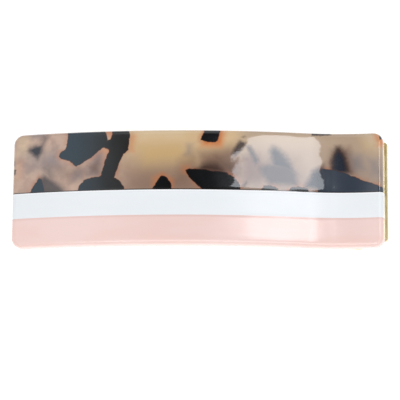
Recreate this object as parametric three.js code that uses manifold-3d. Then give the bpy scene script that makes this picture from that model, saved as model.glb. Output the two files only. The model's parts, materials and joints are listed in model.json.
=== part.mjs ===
// A bowed hair barrette: a striped acetate plate glued onto a wide, sprung two-jaw metal clip.
//
// Millimetres. X runs along the barrette towards its hinge end, Y across it towards the
// tortoiseshell stripe, and Z up. The barrette lies face up on two flats: the toe of its lower
// jaw and the lip of its thumb tab. The origin is under the middle of its box.
//
// The clip is drawn in its own plane, where the bow is level, and one group then turns it
// until both flats lie on the ground.

import * as THREE from "three";
import { mergeVertices } from "three/addons/utils/BufferGeometryUtils.js";
import Module from "manifold-3d";

const wasm = await Module();
wasm.setup();

// ---- Driving dimensions ----

// Acetate plate: three bars joined edge to edge, cut to one rounded rectangle and bowed.
const plateLength = 84;
const plateWidth = 26.4;
const plateThickness = 3;
const whiteWidth = 5.8;
const pinkWidth = 6.6;
const plateCornerRadius = 2.3;
const plateEdgeRadius = 1.1;

// Bow: an arch over the whole length, whose hinge end turns up again.
const bowRise = 6.2;
const kickRise = 5.2;
const kickLength = 18.7;

// Glue line between the plate and the clip.
const glueThickness = 0.3;
const glueInset = 1.2;

// Sheet metal of both jaws.
const sheetThickness = 0.75;
const jawInset = 1.7;
const jawTipInset = 4.2;
const jawCornerRadius = 2.5;
const upperOverhang = 0.45;

// Hinge: a headed pin through two pairs of ears.
const pinFromEnd = 22;
const pinRadius = 0.9;
const pinHeadLap = 0.7;
const pinHeadThickness = 0.6;
const boreClearance = 0.1;
const sideClearance = 0.2;
const earWall = 1.2;
const earFootSpread = 1.8;

// Lower jaw: toe, arched grip, straight thumb tab and its lip.
const tipGap = 0.3;
const toeLength = 2;
const tabAngle = THREE.MathUtils.degToRad(14);
const tabReach = 18;
const tabStraightLead = 5;
const tabInset = 0.3;
const lipLength = 2.5;
const lipBend = 0.8;
const waistClearance = 2.5;
const waistShoulder = 1;
const tabCornerRadius = 2;

// Gripping teeth along both long edges of the lower jaw.
const toothPitch = 2.2;
const toothHeight = 0.55;
const toothWidth = 0.7;
const teethFromTip = 6;
const teethFromPin = 12;

// Torsion spring, wound round the pin with one leg on each jaw.
const wireRadius = 0.45;
const coilBoreClearance = 0.25;
const coilJawClearance = 0.4;
const turnGap = 0.1;
const wholeTurns = 7;
const legReach = 9;
const legGap = 0.3;

// Fineness of the facets.
const stationSpacing = 2.4;
const cornerSteps = [0, 0.04, 0.16, 0.36, 0.65, 1];
const roundSegments = 12;
const wireSides = 4;
const stepsPerTurn = 12;

// ---- Derived places ----

const halfLength = plateLength / 2;
const halfWidth = plateWidth / 2;
const jawHalf = halfWidth - jawInset;
const pinkEdge = -halfWidth + pinkWidth;
const whiteEdge = pinkEdge + whiteWidth;
const jawTip = -halfLength + jawTipInset;
const jawEnd = halfLength + upperOverhang;
const underGlue = -glueThickness;
const underJaw = underGlue - sheetThickness;
const lowerEarFace = jawHalf - sheetThickness - sideClearance;
const earRadius = pinRadius + boreClearance + earWall;
const earFootHalf = earRadius + earFootSpread;
const coilRadius = pinRadius + coilBoreClearance + wireRadius;
const coilPitch = 2 * wireRadius + turnGap;
const jawFromPin = coilRadius + wireRadius + coilJawClearance;

// The point at x on the bow, which is the plate's underside, moved off it by lift.
function onBow(x, y, lift) {
  const kick = Math.max(0, (x - halfLength + kickLength) / kickLength);
  const height = bowRise * (1 - (x / halfLength) ** 2) + kickRise * kick ** 2;
  const slope = (-2 * bowRise * x) / halfLength ** 2 + (2 * kickRise * kick) / kickLength;
  const normal = new THREE.Vector2(-slope, 1).normalize();
  return new THREE.Vector3(x + normal.x * lift, y, height + normal.y * lift);
}

// The same point in the clip's own plane, as (x, z).
function bowPoint(x, lift) {
  const point = onBow(x, 0, lift);
  return new THREE.Vector2(point.x, point.z);
}

const pin = bowPoint(halfLength - pinFromEnd, underJaw - jawFromPin);

// The lower jaw's underside, as points in the clip's own plane.
const tabAlong = new THREE.Vector2(Math.cos(tabAngle), -Math.sin(tabAngle));
const tabNormal = new THREE.Vector2(Math.sin(tabAngle), Math.cos(tabAngle));
const underPin = pin.clone().addScaledVector(tabNormal, -jawFromPin - sheetThickness);
const toeEnd = bowPoint(jawTip, underJaw - tipGap - sheetThickness);
const lipStart = underPin.clone().addScaledVector(tabAlong, tabReach);
const ground = lipStart.clone().sub(toeEnd).normalize();
const restTilt = Math.atan2(-ground.y, ground.x);
const toeStart = toeEnd.clone().addScaledVector(ground, toeLength);
const lipEnd = lipStart.clone().addScaledVector(ground, lipLength);
const gripEnd = underPin.clone().addScaledVector(tabAlong, -tabStraightLead);
const gripCrown = gripEnd.clone().addScaledVector(
  tabAlong,
  (toeStart.x - gripEnd.x) / 2 / tabAlong.x,
);

// Places along the bow that every piece on it shares, so that their faces meet exactly.
function bowStations() {
  const places = [jawTip, jawEnd, jawTip + glueInset, halfLength - glueInset];
  const count = Math.round(plateLength / stationSpacing);
  for (let i = 1; i < count; i++) {
    places.push(-halfLength + (plateLength * i) / count);
  }
  for (const step of cornerSteps) {
    places.push(-halfLength + step * plateCornerRadius);
    places.push(halfLength - step * plateCornerRadius);
  }
  return places.sort((a, b) => a - b);
}
const stations = bowStations();

function stationsBetween(start, end) {
  return stations.filter((x) => x >= start - 1e-9 && x <= end + 1e-9);
}

// ---- Geometry helpers ----

// Skins one closed section per place, each placed by place(at, y, z), and caps both ends.
function loft(places, section, place) {
  const loops = places.map(section);
  const count = loops[0].length;
  const positions = loops.flatMap((loop, i) =>
    loop.flatMap((point) => place(places[i], point.x, point.y).toArray()),
  );
  const index = [];
  for (let i = 0; i + 1 < places.length; i++) {
    for (let j = 0; j < count; j++) {
      const a = i * count + j;
      const b = i * count + ((j + 1) % count);
      index.push(a, b, b + count, a, b + count, a + count);
    }
  }
  const last = (places.length - 1) * count;
  for (const [a, b, c] of THREE.ShapeUtils.triangulateShape(loops[0], [])) {
    index.push(c, b, a);
  }
  for (const [a, b, c] of THREE.ShapeUtils.triangulateShape(loops.at(-1), [])) {
    index.push(last + a, last + b, last + c);
  }
  const geometry = new THREE.BufferGeometry();
  geometry.setAttribute("position", new THREE.Float32BufferAttribute(positions, 3));
  geometry.setIndex(index);
  return geometry;
}

function rectangle(halfY, low, high) {
  return [
    new THREE.Vector2(-halfY, low),
    new THREE.Vector2(halfY, low),
    new THREE.Vector2(halfY, high),
    new THREE.Vector2(-halfY, high),
  ];
}

// A sheet that follows the bow between two places, from one lift to another.
function bowedSheet(start, end, halfY, low, high) {
  return loft(stationsBetween(start, end), () => rectangle(halfY, low, high), onBow);
}

// Extrudes an outline drawn in the clip's plane to a wall whose far face is at y = face.
function wall(shape, thickness, face) {
  const settings = { depth: thickness, bevelEnabled: false, curveSegments: roundSegments };
  const geometry = new THREE.ExtrudeGeometry(shape, settings);
  return geometry.rotateX(Math.PI / 2).translate(0, face, 0);
}

function solidOf(geometry) {
  const bare = geometry.clone();
  bare.deleteAttribute("normal");
  bare.deleteAttribute("uv");
  const merged = mergeVertices(bare, 1e-4);
  const vertProperties = merged.attributes.position.array;
  const triVerts = new Uint32Array(merged.index.array);
  return new wasm.Manifold(new wasm.Mesh({ numProp: 3, vertProperties, triVerts }));
}

function geometryOf(solid) {
  const mesh = solid.getMesh();
  const geometry = new THREE.BufferGeometry();
  geometry.setAttribute("position", new THREE.BufferAttribute(mesh.vertProperties, 3));
  geometry.setIndex(new THREE.BufferAttribute(mesh.triVerts, 1));
  return geometry;
}

// A closed outline through corners of [x, y, radius], rounded at each one.
function roundedOutline(corners) {
  const shape = new THREE.Shape();
  corners.forEach(([x, y, radius], i) => {
    const corner = new THREE.Vector2(x, y);
    const before = new THREE.Vector2(...corners.at(i - 1));
    const after = new THREE.Vector2(...corners[(i + 1) % corners.length]);
    const entry = corner.clone().add(before.sub(corner).setLength(radius));
    const exit = corner.clone().add(after.sub(corner).setLength(radius));
    if (i === 0) shape.moveTo(entry.x, entry.y);
    else shape.lineTo(entry.x, entry.y);
    shape.quadraticCurveTo(x, y, exit.x, exit.y);
  });
  shape.closePath();
  return shape;
}

// Trims a bent sheet to the outline that its flat blank has from above.
function trimmed(geometry, corners) {
  const both = [...corners, ...corners.map(([x, y, radius]) => [x, -y, radius]).reverse()];
  const settings = { depth: plateLength, bevelEnabled: false, curveSegments: roundSegments / 3 };
  const blank = new THREE.ExtrudeGeometry(roundedOutline(both), settings);
  return solidOf(geometry).intersect(solidOf(blank.translate(0, 0, -halfLength)));
}

// ---- Acetate plate ----

// Depth of the rounded top edge at a point this far inside the plate's outline.
function edgeDrop(inside) {
  const short = Math.max(0, plateEdgeRadius - inside);
  return plateEdgeRadius - Math.sqrt(plateEdgeRadius ** 2 - short ** 2);
}

function distanceInside(x, y) {
  const pastX = Math.abs(x) - halfLength + plateCornerRadius;
  const pastY = Math.abs(y) - halfWidth + plateCornerRadius;
  if (pastX > 0 && pastY > 0) return plateCornerRadius - Math.hypot(pastX, pastY);
  return plateCornerRadius - Math.max(pastX, pastY);
}

function plateHalfWidth(x) {
  const past = Math.max(0, Math.abs(x) - halfLength + plateCornerRadius);
  return halfWidth - plateCornerRadius + Math.sqrt(plateCornerRadius ** 2 - past ** 2);
}

// One bar of the plate. Where it reaches the plate's long edge, its top rounds over.
function acetateBar(low, high) {
  const section = (x) => {
    const reach = plateHalfWidth(x);
    const from = Math.max(low, -reach);
    const to = Math.min(high, reach);
    const across = [to, from];
    for (const step of cornerSteps) {
      const inwards = step * plateEdgeRadius;
      if (low <= -halfWidth && step > 0) across.push(from + inwards);
      if (high >= halfWidth && step > 0) across.push(to - inwards);
    }
    across.sort((a, b) => b - a);
    const top = across.map((y) => {
      const inside = Math.max(0, distanceInside(x, y));
      return new THREE.Vector2(y, plateThickness - edgeDrop(inside));
    });
    return [new THREE.Vector2(from, 0), new THREE.Vector2(to, 0), ...top];
  };
  return loft(stationsBetween(-halfLength, halfLength), section, onBow);
}

function adhesiveFilm() {
  const start = jawTip + glueInset;
  const end = halfLength - glueInset;
  return bowedSheet(start, end, jawHalf - glueInset, underGlue, 0);
}

// ---- Clip ----

// An ear round the pin, with its foot between two points of the sheet that it folds from.
function ear(foot, face) {
  const above = foot[0].y > pin.y;
  const shape = new THREE.Shape();
  shape.moveTo(foot[0].x, foot[0].y);
  shape.lineTo(pin.x - earRadius, pin.y);
  shape.absarc(pin.x, pin.y, earRadius, Math.PI, above ? 2 * Math.PI : 0, !above);
  shape.lineTo(foot[1].x, foot[1].y);
  shape.closePath();
  const bore = new THREE.Path();
  bore.absarc(pin.x, pin.y, pinRadius + boreClearance, 0, 2 * Math.PI);
  shape.holes.push(bore);
  return solidOf(wall(shape, sheetThickness, face));
}

function bothEars(foot, face) {
  return ear(foot, face).add(ear(foot, -face + sheetThickness));
}

function upperJaw() {
  const sheet = bowedSheet(jawTip, jawEnd, jawHalf, underJaw, underGlue);
  const blank = [
    [jawTip - sheetThickness, jawHalf, jawCornerRadius],
    [jawEnd + sheetThickness, jawHalf, sheetThickness],
  ];
  const middle = (underJaw + underGlue) / 2;
  const centre = halfLength - pinFromEnd;
  const foot = [-earFootHalf, earFootHalf].map((along) => bowPoint(centre + along, middle));
  return geometryOf(trimmed(sheet, blank).add(bothEars(foot, jawHalf)));
}

// Points of the lower jaw's underside, and of its top face a sheet's thickness above.
function lowerJawProfile() {
  const bendStart = lipStart.clone().addScaledVector(tabAlong, -lipBend);
  const bendEnd = lipStart.clone().addScaledVector(ground, lipBend);
  const path = new THREE.Path();
  path.moveTo(toeEnd.x, toeEnd.y);
  path.lineTo(toeStart.x, toeStart.y);
  path.quadraticCurveTo(gripCrown.x, gripCrown.y, gripEnd.x, gripEnd.y);
  path.lineTo(bendStart.x, bendStart.y);
  path.quadraticCurveTo(lipStart.x, lipStart.y, bendEnd.x, bendEnd.y);
  path.lineTo(lipEnd.x, lipEnd.y);
  const under = path.getPoints(2 * roundSegments);
  const over = under.map((point, i) => {
    const back = point.clone().sub(under[Math.max(0, i - 1)]).normalize();
    const ahead = under[Math.min(under.length - 1, i + 1)].clone().sub(point).normalize();
    const along = back.clone().add(ahead).normalize();
    const mitre = sheetThickness / Math.max(along.dot(back), along.dot(ahead));
    return new THREE.Vector2(point.x - along.y * mitre, point.y + along.x * mitre);
  });
  return { under, over };
}

// A row of pointed teeth that stands on the lower jaw's top face along one edge.
function teeth(over, face) {
  const start = jawTip + teethFromTip;
  const end = pin.x - teethFromPin;
  const count = Math.floor((end - start) / toothPitch);
  const pointAt = (x) => {
    const next = over.findIndex((point) => point.x > x);
    const share = (x - over[next - 1].x) / (over[next].x - over[next - 1].x);
    return over[next - 1].clone().lerp(over[next], share);
  };
  const shape = new THREE.Shape();
  const root = sheetThickness / 2;
  for (let i = 0; i <= 2 * count; i++) {
    const at = pointAt(start + (i * toothPitch) / 2);
    const rise = i % 2 ? toothHeight : -root / 4;
    if (i === 0) shape.moveTo(at.x, at.y + rise);
    else shape.lineTo(at.x, at.y + rise);
  }
  for (let i = 2 * count; i >= 0; i--) {
    const at = pointAt(start + (i * toothPitch) / 2);
    shape.lineTo(at.x, at.y - root);
  }
  return solidOf(wall(shape, toothWidth, face));
}

function lowerJaw() {
  const { under, over } = lowerJawProfile();
  const tabHalf = jawHalf - tabInset;
  const places = under.map((_, i) => i);
  const place = (i, y, side) => {
    const point = side ? over[i] : under[i];
    return new THREE.Vector3(point.x, y, point.y);
  };
  const sheet = loft(places, () => rectangle(jawHalf, 0, 1), place);
  const waistHalfLength = earFootHalf + waistClearance;
  const waistStart = pin.x - waistHalfLength;
  const waistEnd = pin.x + waistHalfLength;
  const blank = [
    [over[0].x - sheetThickness, jawHalf, jawCornerRadius],
    [waistStart - waistShoulder, jawHalf, waistShoulder / 2],
    [waistStart, lowerEarFace, waistShoulder / 2],
    [waistEnd, lowerEarFace, waistShoulder / 2],
    [waistEnd + waistShoulder, tabHalf, waistShoulder / 2],
    [over.at(-1).x + sheetThickness, tabHalf, tabCornerRadius],
  ];
  const middle = underPin.clone().addScaledVector(tabNormal, sheetThickness / 2);
  const foot = [-earFootHalf, earFootHalf].map((along) =>
    middle.clone().addScaledVector(tabAlong, along),
  );
  const solid = trimmed(sheet, blank)
    .add(bothEars(foot, lowerEarFace))
    .add(teeth(over, jawHalf))
    .add(teeth(over, -jawHalf + toothWidth));
  return geometryOf(solid);
}

function hingePin() {
  const shaftHalf = jawHalf + boreClearance;
  const headEnd = shaftHalf + pinHeadThickness;
  const pinHeadRadius = pinRadius + pinHeadLap;
  const profile = [
    [0, -headEnd],
    [pinHeadRadius - pinHeadThickness / 2, -headEnd],
    [pinHeadRadius, -headEnd + pinHeadThickness / 2],
    [pinHeadRadius, -shaftHalf],
    [pinRadius, -shaftHalf],
    [pinRadius, shaftHalf],
    [pinHeadRadius, shaftHalf],
    [pinHeadRadius, headEnd - pinHeadThickness / 2],
    [pinHeadRadius - pinHeadThickness / 2, headEnd],
    [0, headEnd],
  ].map(([radius, y]) => new THREE.Vector2(radius, y));
  return new THREE.LatheGeometry(profile, 2 * roundSegments);
}

// The coil of the spring about the pin, from one angle to another, along -Y.
class Coil extends THREE.Curve {
  constructor(startAngle, endAngle) {
    super();
    this.startAngle = startAngle;
    this.endAngle = endAngle;
    this.width = ((endAngle - startAngle) / (2 * Math.PI)) * coilPitch;
  }

  getPoint(t) {
    const angle = THREE.MathUtils.lerp(this.startAngle, this.endAngle, t);
    const x = pin.x + coilRadius * Math.cos(angle);
    const z = pin.y + coilRadius * Math.sin(angle);
    return new THREE.Vector3(x, this.width / 2 - t * this.width, z);
  }
}

// Each leg leaves the coil along its tangent and ends just clear of its jaw.
function torsionSpring() {
  const lift = legGap + wireRadius;
  const upperEnd = bowPoint(halfLength - pinFromEnd + legReach, underJaw - lift);
  const lowerEnd = underPin
    .clone()
    .addScaledVector(tabAlong, legReach)
    .addScaledVector(tabNormal, sheetThickness + lift);
  const touch = (end, side) => {
    const toEnd = end.clone().sub(pin);
    return Math.atan2(toEnd.y, toEnd.x) + side * Math.acos(coilRadius / toEnd.length());
  };
  const startAngle = touch(upperEnd, 1);
  const endAngle = touch(lowerEnd, -1) + 2 * Math.PI * (wholeTurns + 1);
  const coil = new Coil(startAngle, endAngle);
  const legTo = (end, y) => new THREE.Vector3(end.x, y, end.y);
  const wire = new THREE.CurvePath();
  wire.add(new THREE.LineCurve3(legTo(upperEnd, coil.width / 2), coil.getPoint(0)));
  wire.add(coil);
  wire.add(new THREE.LineCurve3(coil.getPoint(1), legTo(lowerEnd, -coil.width / 2)));
  wire.arcLengthDivisions = 2000;
  const steps = Math.ceil((stepsPerTurn * wire.getLength()) / (2 * Math.PI * coilRadius));
  const section = new THREE.Shape().absarc(0, 0, wireRadius, 0, 2 * Math.PI);
  const settings = { steps, extrudePath: wire, curveSegments: wireSides, bevelEnabled: false };
  return new THREE.ExtrudeGeometry(section, settings);
}

// ---- Materials ----

const acetate = (color) =>
  new THREE.MeshStandardMaterial({ color, roughness: 0.12, metalness: 0 });
const gold = (roughness) =>
  new THREE.MeshStandardMaterial({ color: 0xe2cd8a, roughness, metalness: 1 });
const glue = new THREE.MeshStandardMaterial({ color: 0xe9e6da, roughness: 0.45, metalness: 0 });
const springSteel = new THREE.MeshStandardMaterial({
  color: 0xa9a79f,
  roughness: 0.3,
  metalness: 1,
});

// ---- Assembly ----

const clip = new THREE.Group();

function addPiece(name, geometry, material) {
  const mesh = new THREE.Mesh(geometry, material);
  mesh.name = name;
  clip.add(mesh);
  return mesh;
}

addPiece("tortoise_stripe", acetateBar(whiteEdge, halfWidth), acetate(0x6b5136));
addPiece("white_stripe", acetateBar(pinkEdge, whiteEdge), acetate(0xf1f2f4));
addPiece("pink_stripe", acetateBar(-halfWidth, pinkEdge), acetate(0xedd0ca));
addPiece("adhesive_film", adhesiveFilm(), glue);
addPiece("upper_jaw", upperJaw(), gold(0.22));
addPiece("lower_jaw", lowerJaw(), gold(0.22));
addPiece("hinge_pin", hingePin(), gold(0.3)).position.set(pin.x, 0, pin.y);
addPiece("torsion_spring", torsionSpring(), springSteel);

// Turned until toe and lip are level, then moved so that the origin is under its box.
clip.rotation.y = -restTilt;
const barrette = new THREE.Group();
barrette.name = "barrette";
barrette.add(clip);
const box = new THREE.Box3().setFromObject(barrette, true);
const centre = box.getCenter(new THREE.Vector3());
clip.position.set(-centre.x, -centre.y, -box.min.z);

export default barrette;
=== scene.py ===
import bisect
import json
import math

import bmesh
import bpy
from mathutils import Matrix, Vector, geometry


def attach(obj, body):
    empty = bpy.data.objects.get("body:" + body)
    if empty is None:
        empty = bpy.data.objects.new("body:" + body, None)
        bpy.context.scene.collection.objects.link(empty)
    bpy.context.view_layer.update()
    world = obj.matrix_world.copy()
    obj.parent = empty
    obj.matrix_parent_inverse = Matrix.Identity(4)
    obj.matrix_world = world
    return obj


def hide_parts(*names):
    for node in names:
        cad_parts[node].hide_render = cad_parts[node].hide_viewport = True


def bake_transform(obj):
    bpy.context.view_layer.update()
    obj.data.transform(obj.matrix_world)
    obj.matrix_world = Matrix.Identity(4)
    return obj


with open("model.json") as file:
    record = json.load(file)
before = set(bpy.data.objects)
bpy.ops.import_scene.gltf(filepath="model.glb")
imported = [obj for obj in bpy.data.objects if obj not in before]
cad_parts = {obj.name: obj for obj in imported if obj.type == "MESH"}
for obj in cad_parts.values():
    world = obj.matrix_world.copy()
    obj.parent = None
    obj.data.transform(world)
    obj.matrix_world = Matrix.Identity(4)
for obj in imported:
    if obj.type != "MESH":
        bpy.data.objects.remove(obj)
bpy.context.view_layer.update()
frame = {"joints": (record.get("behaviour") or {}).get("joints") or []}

# The looks of a bowed hair barrette: three acetate stripes on a wide gold clip.
#
# Lengths are millimetres until a mesh, a light or the camera is made, and metres after that.
# The clip is drawn in its own plane, where the bow is level, exactly as the CAD source draws
# it, and in_frame() then turns it to where the CAD stands it on its toe and its lip.

MM = 0.001

# ---- Driving dimensions, the same as in the CAD source ----

PLATE_LENGTH = 84
PLATE_WIDTH = 26.4
PLATE_THICKNESS = 3
WHITE_WIDTH = 5.8
PINK_WIDTH = 6.6
PLATE_CORNER_RADIUS = 2.3
PLATE_EDGE_RADIUS = 1.1

BOW_RISE = 6.2
KICK_RISE = 5.2
KICK_LENGTH = 18.7

GLUE_THICKNESS = 0.3
GLUE_INSET = 1.2

SHEET_THICKNESS = 0.75
JAW_INSET = 1.7
JAW_TIP_INSET = 4.2
JAW_CORNER_RADIUS = 2.5
UPPER_OVERHANG = 0.45

PIN_FROM_END = 22
PIN_RADIUS = 0.9
PIN_HEAD_LAP = 0.7
PIN_HEAD_THICKNESS = 0.6
BORE_CLEARANCE = 0.1
SIDE_CLEARANCE = 0.2
EAR_WALL = 1.2
EAR_FOOT_SPREAD = 1.8

TIP_GAP = 0.3
TOE_LENGTH = 2
TAB_ANGLE = math.radians(14)
TAB_REACH = 18
TAB_STRAIGHT_LEAD = 5
TAB_INSET = 0.3
LIP_LENGTH = 2.5
LIP_BEND = 0.8
WAIST_CLEARANCE = 2.5
WAIST_SHOULDER = 1
TAB_CORNER_RADIUS = 2

TOOTH_PITCH = 2.2
TOOTH_HEIGHT = 0.55
TEETH_FROM_TIP = 6
TEETH_FROM_PIN = 12

WIRE_RADIUS = 0.45
COIL_BORE_CLEARANCE = 0.25
COIL_JAW_CLEARANCE = 0.4
TURN_GAP = 0.1
WHOLE_TURNS = 7
LEG_REACH = 9

# ---- Details that only the looks have ----

BOTTOM_EDGE_RADIUS = 0.35
SEAM_DEPTH = 0.045
SEAM_REACH = 0.4

GLUE_CORNER_RADIUS = 1.5
GLUE_SWELL = 0.12
GLUE_BULGE = 0.1

FOLD_RADIUS = 0.45
RELIEF_WIDTH = 0.4
RELIEF_DEPTH = 0.1
CUT_EDGE_RADIUS = 0.1
TOOTH_ROOT_LIFT = 0.04
TOOTH_ROOT_FLAT = 0.12
TOOTH_TIP_FLAT = 0.1

PIN_RIM = 0.15
PIN_RIM_CHAMFER = 0.05
LEG_TOUCH_GAP = 0.04
WIRE_END_CHAMFER = 0.12
WIRE_END_WIDTH = 0.75
SPRING_BLEND_REACH = 3.2

# ---- Mesh steps ----

EDGE_STEPS = 9
CORNER_STEPS = 12
BOTTOM_EDGE_STEPS = 4
LEAST_SPACING = 0.012
PLATE_SPACING = 0.7
SURFACE_SPACING = 0.8
OUTLINE_SPACING = 0.5
OUTLINE_CLEARANCE = 0.3
PIN_SIDES = 48
WIRE_SIDES = 14
COIL_STEPS = 36

# ---- Derived places, the same as in the CAD source ----

HALF_LENGTH = PLATE_LENGTH / 2
HALF_WIDTH = PLATE_WIDTH / 2
JAW_HALF = HALF_WIDTH - JAW_INSET
PINK_EDGE = -HALF_WIDTH + PINK_WIDTH
WHITE_EDGE = PINK_EDGE + WHITE_WIDTH
JAW_TIP = -HALF_LENGTH + JAW_TIP_INSET
JAW_END = HALF_LENGTH + UPPER_OVERHANG
UNDER_GLUE = -GLUE_THICKNESS
UNDER_JAW = UNDER_GLUE - SHEET_THICKNESS
LOWER_EAR_FACE = JAW_HALF - SHEET_THICKNESS - SIDE_CLEARANCE
BORE_RADIUS = PIN_RADIUS + BORE_CLEARANCE
EAR_RADIUS = BORE_RADIUS + EAR_WALL
EAR_FOOT_HALF = EAR_RADIUS + EAR_FOOT_SPREAD
COIL_RADIUS = PIN_RADIUS + COIL_BORE_CLEARANCE + WIRE_RADIUS
COIL_PITCH = 2 * WIRE_RADIUS + TURN_GAP
JAW_FROM_PIN = COIL_RADIUS + WIRE_RADIUS + COIL_JAW_CLEARANCE
PIN_STATION = HALF_LENGTH - PIN_FROM_END


def kick_at(x):
    return max(0.0, (x - HALF_LENGTH + KICK_LENGTH) / KICK_LENGTH)


def on_bow(x, y, lift):
    """The point at x on the bow, which is the plate's underside, moved off it by lift."""
    height = BOW_RISE * (1 - (x / HALF_LENGTH) ** 2) + KICK_RISE * kick_at(x) ** 2
    slope = -2 * BOW_RISE * x / HALF_LENGTH**2 + 2 * KICK_RISE * kick_at(x) / KICK_LENGTH
    normal = Vector((-slope, 1)).normalized()
    return Vector((x + normal.x * lift, y, height + normal.y * lift))


def bow_point(x, lift):
    point = on_bow(x, 0, lift)
    return Vector((point.x, point.z))


PIN = bow_point(PIN_STATION, UNDER_JAW - JAW_FROM_PIN)
TAB_ALONG = Vector((math.cos(TAB_ANGLE), -math.sin(TAB_ANGLE)))
TAB_NORMAL = Vector((math.sin(TAB_ANGLE), math.cos(TAB_ANGLE)))
UNDER_PIN = PIN - TAB_NORMAL * (JAW_FROM_PIN + SHEET_THICKNESS)
TOE_END = bow_point(JAW_TIP, UNDER_JAW - TIP_GAP - SHEET_THICKNESS)
LIP_START = UNDER_PIN + TAB_ALONG * TAB_REACH
GROUND = (LIP_START - TOE_END).normalized()
REST_TILT = math.atan2(-GROUND.y, GROUND.x)
TOE_START = TOE_END + GROUND * TOE_LENGTH
LIP_END = LIP_START + GROUND * LIP_LENGTH
GRIP_END = UNDER_PIN - TAB_ALONG * TAB_STRAIGHT_LEAD
GRIP_CROWN = GRIP_END + TAB_ALONG * ((TOE_START.x - GRIP_END.x) / 2 / TAB_ALONG.x)

# The frame says where the hinge is, and that places the whole clip.
hinge = next(joint for joint in frame["joints"] if joint["name"] == "clip_hinge")
TURN = Matrix.Rotation(-REST_TILT, 3, "Y")
CLIP_ORIGIN = Vector(hinge["pos_m"]) / MM - TURN @ Vector((PIN.x, 0, PIN.y))


def in_frame(point):
    """A point of the clip's own plane, in millimetres, as metres in the shared frame."""
    return (TURN @ Vector(point) + CLIP_ORIGIN) * MM


# ---- Camera ----

CAMERA_DISTANCE = 500
CAMERA_PITCH = math.radians(13)
CAMERA_LEAN = math.radians(0.6) - REST_TILT
CAMERA_ROLL = math.radians(0.54)
AIM_RIGHT = 0.07
AIM_DOWN = 1.78
SENSOR_WIDTH = 36
LENS = 197.8
NEAREST_SEEN = 50
FURTHEST_SEEN = 20000


def add_camera():
    data = bpy.data.cameras.new("camera")
    data.sensor_width = SENSOR_WIDTH
    data.lens = LENS
    data.clip_start = NEAREST_SEEN * MM
    data.clip_end = FURTHEST_SEEN * MM
    camera = bpy.data.objects.new("camera", data)
    bpy.context.scene.collection.objects.link(camera)
    camera.rotation_mode = "ZXY"
    camera.rotation_euler = (CAMERA_PITCH, CAMERA_LEAN, CAMERA_ROLL)
    axes = camera.rotation_euler.to_matrix()
    aim = TURN @ Vector((0, 0, PLATE_THICKNESS)) + CLIP_ORIGIN
    aim += axes @ Vector((AIM_RIGHT, -AIM_DOWN, 0))
    camera.location = (aim + axes @ Vector((0, 0, CAMERA_DISTANCE))) * MM
    bpy.context.scene.camera = camera


add_camera()

# ---- Mesh helpers ----


def steps(start, end, spacing):
    """Evenly spaced numbers from start to end, both included, no further apart than spacing."""
    count = max(1, math.ceil(abs(end - start) / spacing))
    return [start + (end - start) * i / count for i in range(count + 1)]


def quarter_insets(radius, count):
    """How far inside an edge the points of its quarter round lie, even in angle."""
    return [radius * (1 - math.cos(i * math.pi / 2 / count)) for i in range(count + 1)]


def spread(places, least):
    """Sorted places, without those that lie closer than least to the one before."""
    kept = []
    for place in sorted(places):
        if not kept or place - kept[-1] > least:
            kept.append(place)
    return kept


def smoothed(path, passes):
    """A path whose inner points are drawn toward their neighbours, this many times."""
    for _ in range(passes):
        inner = [(a + b * 2 + c) / 4 for a, b, c in zip(path, path[1:], path[2:])]
        path = [path[0], *inner, path[-1]]
    return path


def direction_at(path, i):
    return (path[min(i + 1, len(path) - 1)] - path[max(i - 1, 0)]).normalized()


def ring_angles(sides):
    return [2 * math.pi * i / sides for i in range(sides)]


def make_piece(name, points, faces):
    """A mesh object from points in the clip's plane, smooth except along sharp edges."""
    mesh = bpy.data.meshes.new(name)
    mesh.from_pydata([in_frame(point) for point in points], [], faces)
    work = bmesh.new()
    work.from_mesh(mesh)
    bmesh.ops.remove_doubles(work, verts=work.verts, dist=1e-7)
    bmesh.ops.recalc_face_normals(work, faces=work.faces)
    work.to_mesh(mesh)
    work.free()
    piece = bpy.data.objects.new(name, mesh)
    bpy.context.scene.collection.objects.link(piece)
    smooth(piece)
    return piece


def smooth(piece, angle=35):
    piece.data.shade_smooth()
    piece.data.set_sharp_from_angle(angle=math.radians(angle))


def apply_modifiers(piece):
    bpy.context.view_layer.update()
    graph = bpy.context.evaluated_depsgraph_get()
    baked = bpy.data.meshes.new_from_object(piece.evaluated_get(graph))
    piece.modifiers.clear()
    piece.data = baked


def loft(loops, closed_ends=True):
    """Points and faces that skin closed loops of equally many points."""
    count = len(loops[0])
    points = [point for loop in loops for point in loop]
    faces = []
    for i in range(len(loops) - 1):
        for j in range(count):
            a = i * count + j
            b = i * count + (j + 1) % count
            faces.append((a, b, b + count, a + count))
    if closed_ends:
        faces.append(tuple(range(count - 1, -1, -1)))
        faces.append(tuple(range(len(points) - count, len(points))))
    return points, faces


def finish_piece(piece, material, slot, *nodes, body="plate_half"):
    piece.data.materials.clear()
    piece.data.materials.append(material)
    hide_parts(*nodes)
    if body:
        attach(piece, body)


# ---- Acetate plate ----


def edge_drop(inside, radius):
    """Depth of a rounded edge at a point this far inside the plate's outline."""
    short = min(radius, max(0.0, radius - inside))
    return radius - math.sqrt(radius**2 - short**2)


def distance_inside(x, y):
    past_x = abs(x) - HALF_LENGTH + PLATE_CORNER_RADIUS
    past_y = abs(y) - HALF_WIDTH + PLATE_CORNER_RADIUS
    if past_x > 0 and past_y > 0:
        return max(0.0, PLATE_CORNER_RADIUS - math.hypot(past_x, past_y))
    return max(0.0, PLATE_CORNER_RADIUS - max(past_x, past_y))


def plate_half_width(x):
    past = max(0.0, abs(x) - HALF_LENGTH + PLATE_CORNER_RADIUS)
    past = min(past, PLATE_CORNER_RADIUS)
    return HALF_WIDTH - PLATE_CORNER_RADIUS + math.sqrt(PLATE_CORNER_RADIUS**2 - past**2)


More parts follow.
